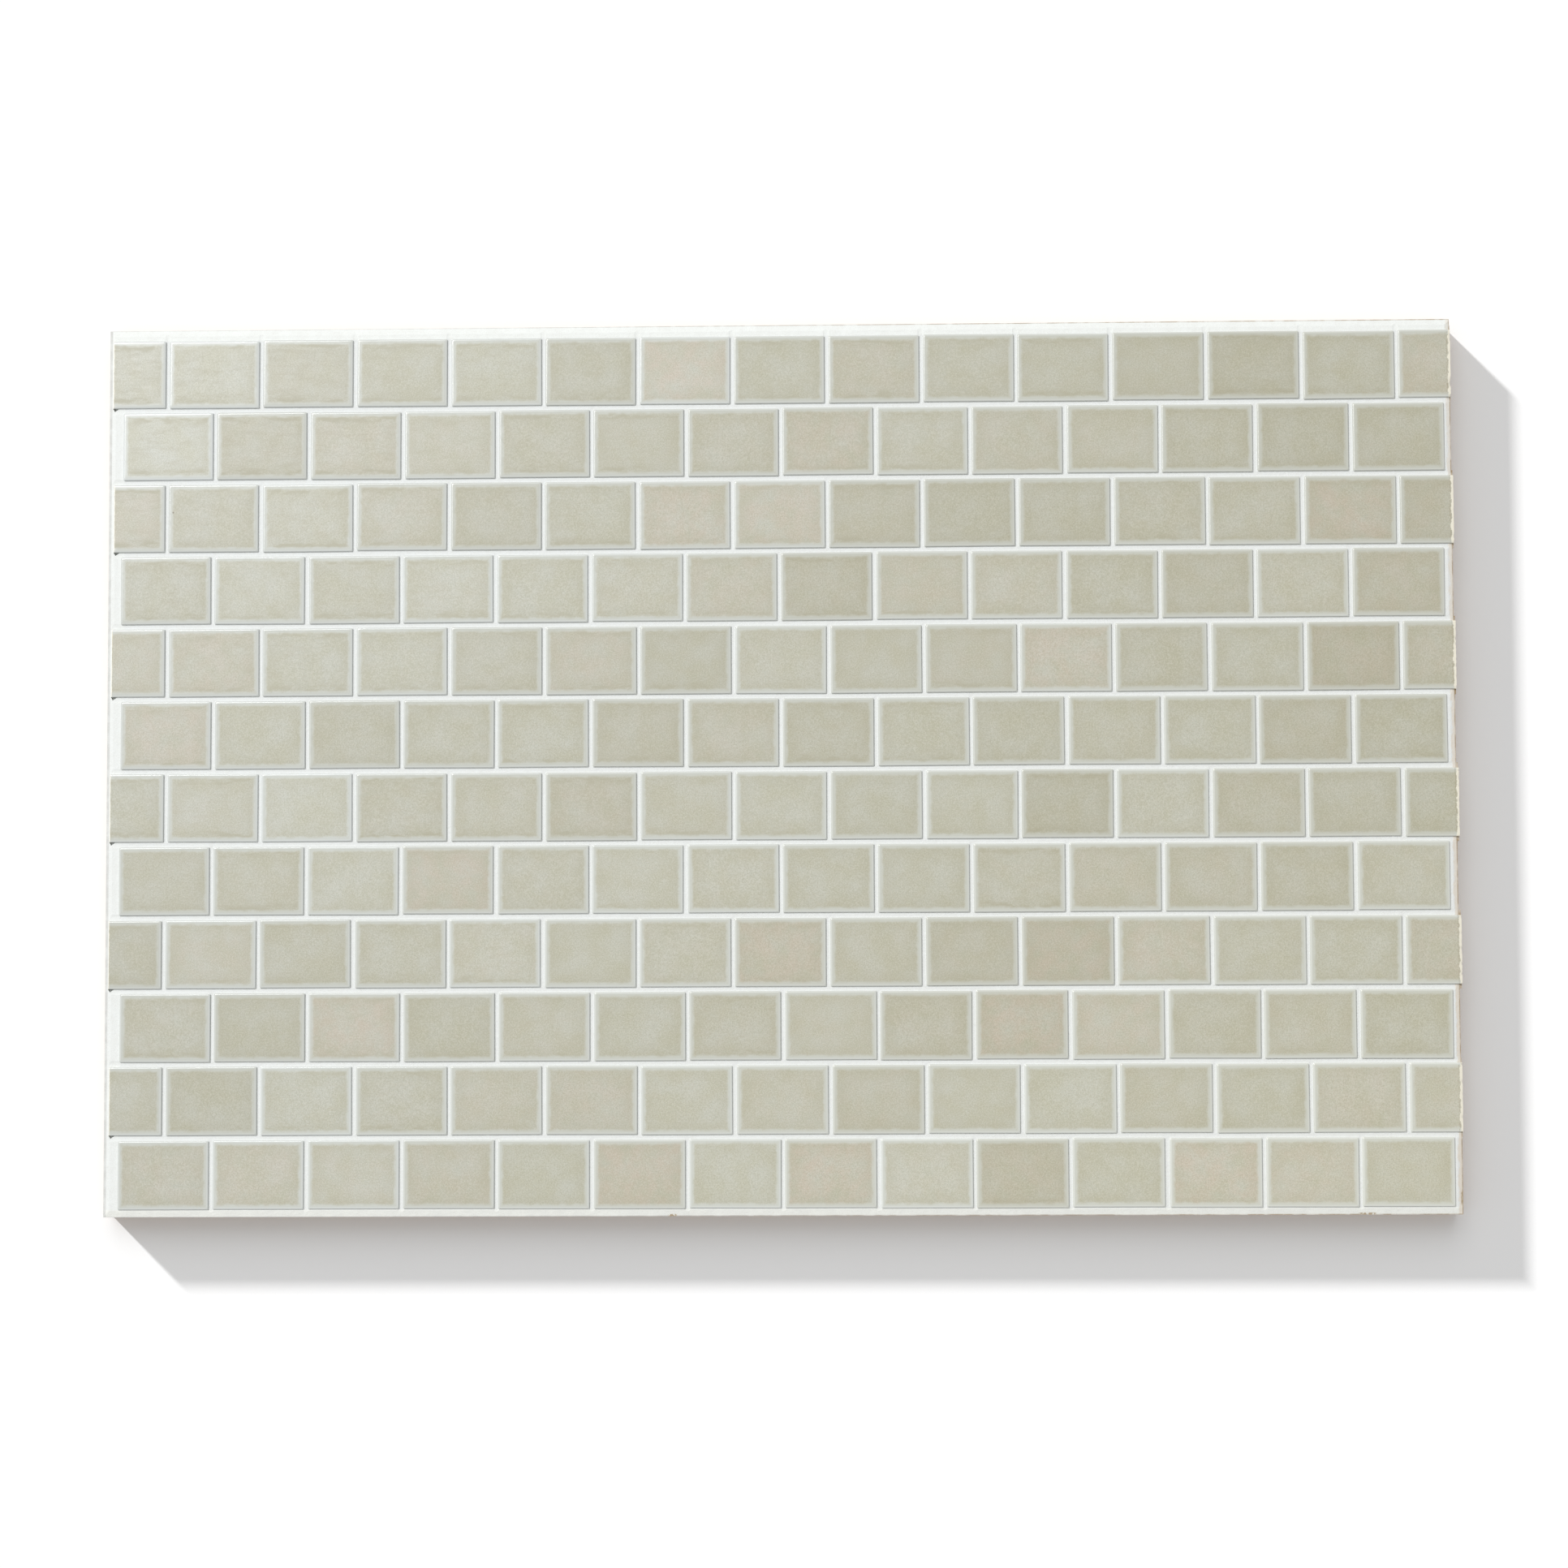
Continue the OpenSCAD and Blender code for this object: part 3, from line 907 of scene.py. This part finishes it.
def dark_outer_rim(tree, at, paste):
    """The darker outermost rim, and the crumbs that are missing."""
    towards_right = ramp(tree, at["across"], -0.4, 0.1)
    width = math_node(tree, "MULTIPLY_ADD", towards_right, 0.35, 0.45)
    least = math_node(tree, "MULTIPLY_ADD", towards_right, -0.2, 0.6)
    patchy = ramp(tree, at["cloud"], 0.1, 0.8, least, 0.95)
    # the outermost rim is darkened: grey towards the left, brown towards the lower right
    rim_darkening = math_node(tree, "MULTIPLY", ramp(tree, at["nearest"], width, 0.1), patchy)
    rim_darkening = math_node(tree, "MULTIPLY", rim_darkening, ramp(tree, at["z"], 19.0, 19.7, 0.12, 1.0))
    brown = ramp(tree, at["across"], -0.3, 0.4)
    rim_tint = mix_colour(tree, brown, colour(205, 206, 203), colour(160, 138, 106))
    paste = mix_colour(tree, rim_darkening, paste, rim_tint)
    crumbs = use(tree, flecks, Place=at["place"], Size_mm=1.1, Share=0.6)
    for x, y, reach in CRUMBLED:
        apart = vector_node(tree, "DISTANCE", at["place"], (x, y, 20.0)).outputs["Value"]
        here = math_node(tree, "MULTIPLY", ramp(tree, apart, reach, reach / 2),
                         ramp(tree, at["nearest"], 1.5, 0.9))
        missing = math_node(tree, "MULTIPLY", crumbs, here)
        paste = mix_colour(tree, missing, paste, colour(176, 158, 130))
    return paste


print("Places with missing crumbs:", len(CRUMBLED))

# %% [markdown]
# ## The grout's surface
# Sand grains show as faint dark flecks and as relief, over the soft lumps that a sponge leaves
# when the joints are wiped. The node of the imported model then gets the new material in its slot.

# %% Build the grout material


def make_grout():
    """The grout of the joints and the margins."""
    material, tree, shader = new_material("sandy_grout", 0.82, 0.35)
    at = values_on_grout(tree)
    paste = dark_outer_rim(tree, at, tan_strip(tree, at, grout_paste(tree, at)))
    sand = use(tree, flecks, Place=at["place"], Size_mm=0.55, Share=0.3)
    paste = mix_colour(tree, math_node(tree, "MULTIPLY", sand, 0.2), paste, colour(205, 203, 192))
    tree.links.new(paste, shader.inputs["Base Color"])
    lumps = use(tree, clouds, Place=at["place"], Size_mm=2.2, Detail=4.0)
    bump(tree, shader, 0.22, 0.0005, math_node(tree, "MULTIPLY_ADD", sand, 0.35, lumps))
    return material


def dress(node, material):
    """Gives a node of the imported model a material."""
    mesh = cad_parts[node].data
    mesh.materials.clear()
    mesh.materials.append(material)
    print(node, "wears", material.name, "with", len(material.node_tree.nodes), "nodes")


dress("grout", make_grout())

# %% [markdown]
# ## The plywood
# The panel is a plain rectangle of half inch plywood, seen only from the sides and the back. Its
# edges show the plies: thin layers, pale where the grain runs along and darker where its end
# shows, with a dark glue line between them. The back shows long face grain. Both come from the
# place on the board: the height picks the ply, and the way the face looks picks the pattern.

# %% Build the plywood material
PANEL_THICKNESS, PLIES = 12.7, 5
PLY = PANEL_THICKNESS / PLIES


def make_plywood():
    """Face grain on the back and plies at the edges."""
    material, tree, shader = new_material("plywood", 0.7, 0.3)
    place = use(tree, place_on_board)
    height = put(tree, "ShaderNodeSeparateXYZ", Vector=place).outputs["Z"]
    slow = use(tree, clouds, Place=place, Size_mm=40.0, Detail=2.0)
    wobble = math_node(tree, "MULTIPLY", slow, 0.12)
    ply = math_node(tree, "ADD", math_node(tree, "DIVIDE", height, PLY), wobble)
    half = math_node(tree, "FRACT", math_node(tree, "MULTIPLY", ply, 0.5))
    crossed = math_node(tree, "GREATER_THAN", half, 0.5)
    glue = math_node(tree, "LESS_THAN", math_node(tree, "FRACT", ply), 0.07)
    along = vector_node(tree, "MULTIPLY", place, (0.03, 0.5, 0.5)).outputs[0]
    grain = use(tree, clouds, Place=along, Size_mm=1.0, Detail=5.0)
    wood = mix_colour(tree, grain, colour(196, 160, 116), colour(216, 186, 144))
    pores = use(tree, flecks, Place=place, Size_mm=0.7, Share=0.35)
    end_grain = mix_colour(tree, pores, colour(176, 136, 92), colour(140, 104, 66))
    normal = put(tree, "ShaderNodeNewGeometry").outputs["Normal"]
    upward = put(tree, "ShaderNodeSeparateXYZ", Vector=normal).outputs["Z"]
    edge = math_node(tree, "LESS_THAN", math_node(tree, "ABSOLUTE", upward), 0.5)
    wood = mix_colour(tree, math_node(tree, "MULTIPLY", edge, crossed), wood, end_grain)
    wood = mix_colour(tree, math_node(tree, "MULTIPLY", edge, glue), wood, colour(92, 62, 38))
    tree.links.new(wood, shader.inputs["Base Color"])
    bump(tree, shader, 0.4, 0.0004, grain)
    return material


dress("plywood_panel", make_plywood())

# %% [markdown]
# ## The adhesive
# Between the wood and the tiles lies 1.5 mm of cement adhesive. Only its edge can be seen, as a
# rough grey line under the grout, so lumps in colour and relief are all that it needs.

# %% Build the adhesive material


def make_adhesive():
    """Rough grey cement."""
    material, tree, shader = new_material("adhesive", 0.9, 0.2)
    lumps = use(tree, clouds, Place=use(tree, place_on_board), Size_mm=3.0, Detail=4.0)
    paste = mix_colour(tree, lumps, colour(206, 205, 198), colour(226, 225, 219))
    tree.links.new(paste, shader.inputs["Base Color"])
    bump(tree, shader, 0.6, 0.0008, lumps)
    return material


dress("adhesive_bed", make_adhesive())

# %% [markdown]
# ## The floor
# The board lies on a white floor. To the camera and in reflections the floor shows as plain
# white paper, with only the shadow on it, so a small glow is added for those rays alone. The
# light on the board doesn't change, because the other rays see an ordinary pale floor. The floor
# has an opening under the board, a hair smaller than the board. From above it can't be seen, and
# from below it shows the plain back of the panel.

# %% Build the floor
FLOOR_HALF = 12  # metres from the middle to the floor's edge
OVERLAP = 0.3 * MM  # how far the floor runs in under the board


def white_ray(tree):
    """1 for rays from the camera, in reflections and through glass, and 0 for the rest."""
    path = put(tree, "ShaderNodeLightPath").outputs
    seen = math_node(tree, "MAXIMUM", path["Is Glossy Ray"], path["Is Transmission Ray"])
    return math_node(tree, "MAXIMUM", path["Is Camera Ray"], seen)


def white_floor():
    """White paper to the camera, and a plain pale floor to all other rays."""
    material = bpy.data.materials.new("white_floor")
    material.use_nodes = True
    tree = material.node_tree
    tree.nodes.clear()
    plain = put(tree, "ShaderNodeBsdfDiffuse", Color=(0.8, 0.8, 0.8, 1))
    white = put(tree, "ShaderNodeBsdfDiffuse", Color=(1, 1, 1, 1))
    glow = put(tree, "ShaderNodeEmission", Color=(1, 1, 1, 1), Strength=0.06)
    shown = put(tree, "ShaderNodeAddShader", in0=white.outputs[0], in1=glow.outputs[0])
    both = put(tree, "ShaderNodeMixShader", in0=white_ray(tree),
               in1=plain.outputs[0], in2=shown.outputs[0])
    put(tree, "ShaderNodeOutputMaterial", Surface=both.outputs[0])
    return material


def make_floor():
    """The floor, as four faces round an opening."""
    mesh = bpy.data.meshes.new("floor")
    outside = (FLOOR_HALF, FLOOR_HALF)
    opening = (panel_high.x - OVERLAP, panel_high.y - OVERLAP)
    points = [(a * half_x, b * half_y, 0) for half_x, half_y in (outside, opening)
              for a, b in ((-1, -1), (1, -1), (1, 1), (-1, 1))]
    mesh.from_pydata(points, [], [(i, (i + 1) % 4, 4 + (i + 1) % 4, 4 + i) for i in range(4)])
    mesh.materials.append(white_floor())
    floor = bpy.data.objects.new("floor", mesh)
    bpy.context.scene.collection.objects.link(floor)
    floor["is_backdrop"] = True
    return floor


floor = make_floor()
print("Floor faces round the opening:", len(floor.data.polygons))

# %% [markdown]
# ## Light on the board
# A large soft lamp stands high at the upper left, as a window would, and a pale world fills the
# shadows. The strengths are set so that a white card on the board would just read as white, and
# every colour renders about as it is written. The world shows white to the camera, so that no
# horizon is seen where the floor ends. Light linking keeps this lamp off the floor, which has
# lamps of its own.

# %% Key lamp and world
board_parts = bpy.data.collections.new("lit_by_the_key")
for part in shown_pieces():
    board_parts.objects.link(part)


def aim_lamp(lamp, direction):
    """Turns a lamp so that it shines in this direction, and adds it to the scene."""
    lamp.rotation_euler = Vector(direction).to_track_quat("-Z", "Y").to_euler()
    bpy.context.scene.collection.objects.link(lamp)


key_data = bpy.data.lights.new("key", "AREA")
key_data.shape, key_data.size, key_data.energy = "SQUARE", 3.0, 505
key = bpy.data.objects.new("key", key_data)
key.location = (-3.1, 3.1, 6.7)
aim_lamp(key, -key.location)
key.light_linking.receiver_collection = board_parts

world = bpy.data.worlds.new("world")
bpy.context.scene.world = world
world.use_nodes = True
sky = world.node_tree
fill = sky.nodes["Background"]
fill.inputs["Color"].default_value = (1, 1, 1, 1)
fill.inputs["Strength"].default_value = 0.42
backdrop = put(sky, "ShaderNodeBackground", Color=(1, 1, 1, 1), Strength=1.0)
shown = put(sky, "ShaderNodeMixShader", in0=white_ray(sky),
            in1=fill.outputs[0], in2=backdrop.outputs[0])
sky.links.new(shown.outputs[0], sky.nodes["World Output"].inputs["Surface"])

# %% [markdown]
# ## Shadow on the floor
# In the photograph the board stood a little off its background, so its shadow reaches far to the
# lower right. Ours lies on the floor. A panel 12.7 mm thick throws such a shadow under a very low
# sun, but a low sun would also rake over the tiles. So this sun lights the floor only, and only
# the panel stands in its way, which keeps the shadow's edge straight as it is in the photograph.
# A second, broad sun adds the darker seam where the board meets the floor.

# %% Lamps for the floor
floor_parts = bpy.data.collections.new("lit_by_the_low_lamps")
floor_parts.objects.link(floor)
panel_alone = bpy.data.collections.new("shades_the_low_lamp")
panel_alone.objects.link(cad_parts["plywood_panel"])


def floor_sun(name, direction, power, breadth):
    """A sun that lights the floor only."""
    data = bpy.data.lights.new(name, "SUN")
    data.energy, data.angle = power, breadth
    lamp = bpy.data.objects.new(name, data)
    aim_lamp(lamp, direction)
    lamp.light_linking.receiver_collection = floor_parts
    return lamp


low = floor_sun("low_lamp", (40, -40.5, -12.7), 5.85, 0.055)
low.light_linking.blocker_collection = panel_alone
broad = floor_sun("broad_lamp", (2, -18, -22.2), 0.61, 0.8)
print("Lamps for the floor:", low.name, "and", broad.name)

# %% [markdown]
# ## Camera
# The photograph was taken almost straight from above, a little towards the lower side. The place
# below was found from the corners of the board and the rows of tiles, for a 75 mm lens. Aiming a
# camera with a track constraint leaves its roll to chance when it looks straight down, so its
# three axes are given instead: which way is right, and which way is backward.

# %% Place the camera
data = bpy.data.cameras.new("camera")
data.lens, data.sensor_width = 75, 36
data.clip_start, data.clip_end = 0.05, 20
camera = bpy.data.objects.new("camera", data)
bpy.context.scene.collection.objects.link(camera)
bpy.context.scene.camera = camera
camera.location = Vector((51.2, -119.65, 1841.3)) * MM
backward = Vector((0.0265, -0.0603, 0.9978)).normalized()
right = Vector((0.99963, -0.00409, -0.02676))
right = (right - backward * right.dot(backward)).normalized()
axes = Matrix((right, backward.cross(right), backward)).transposed()
camera.rotation_euler = axes.to_euler()
bpy.context.scene.view_settings.view_transform = "Standard"
print("Camera", round(camera.location.length, 2), "m from the board's middle")
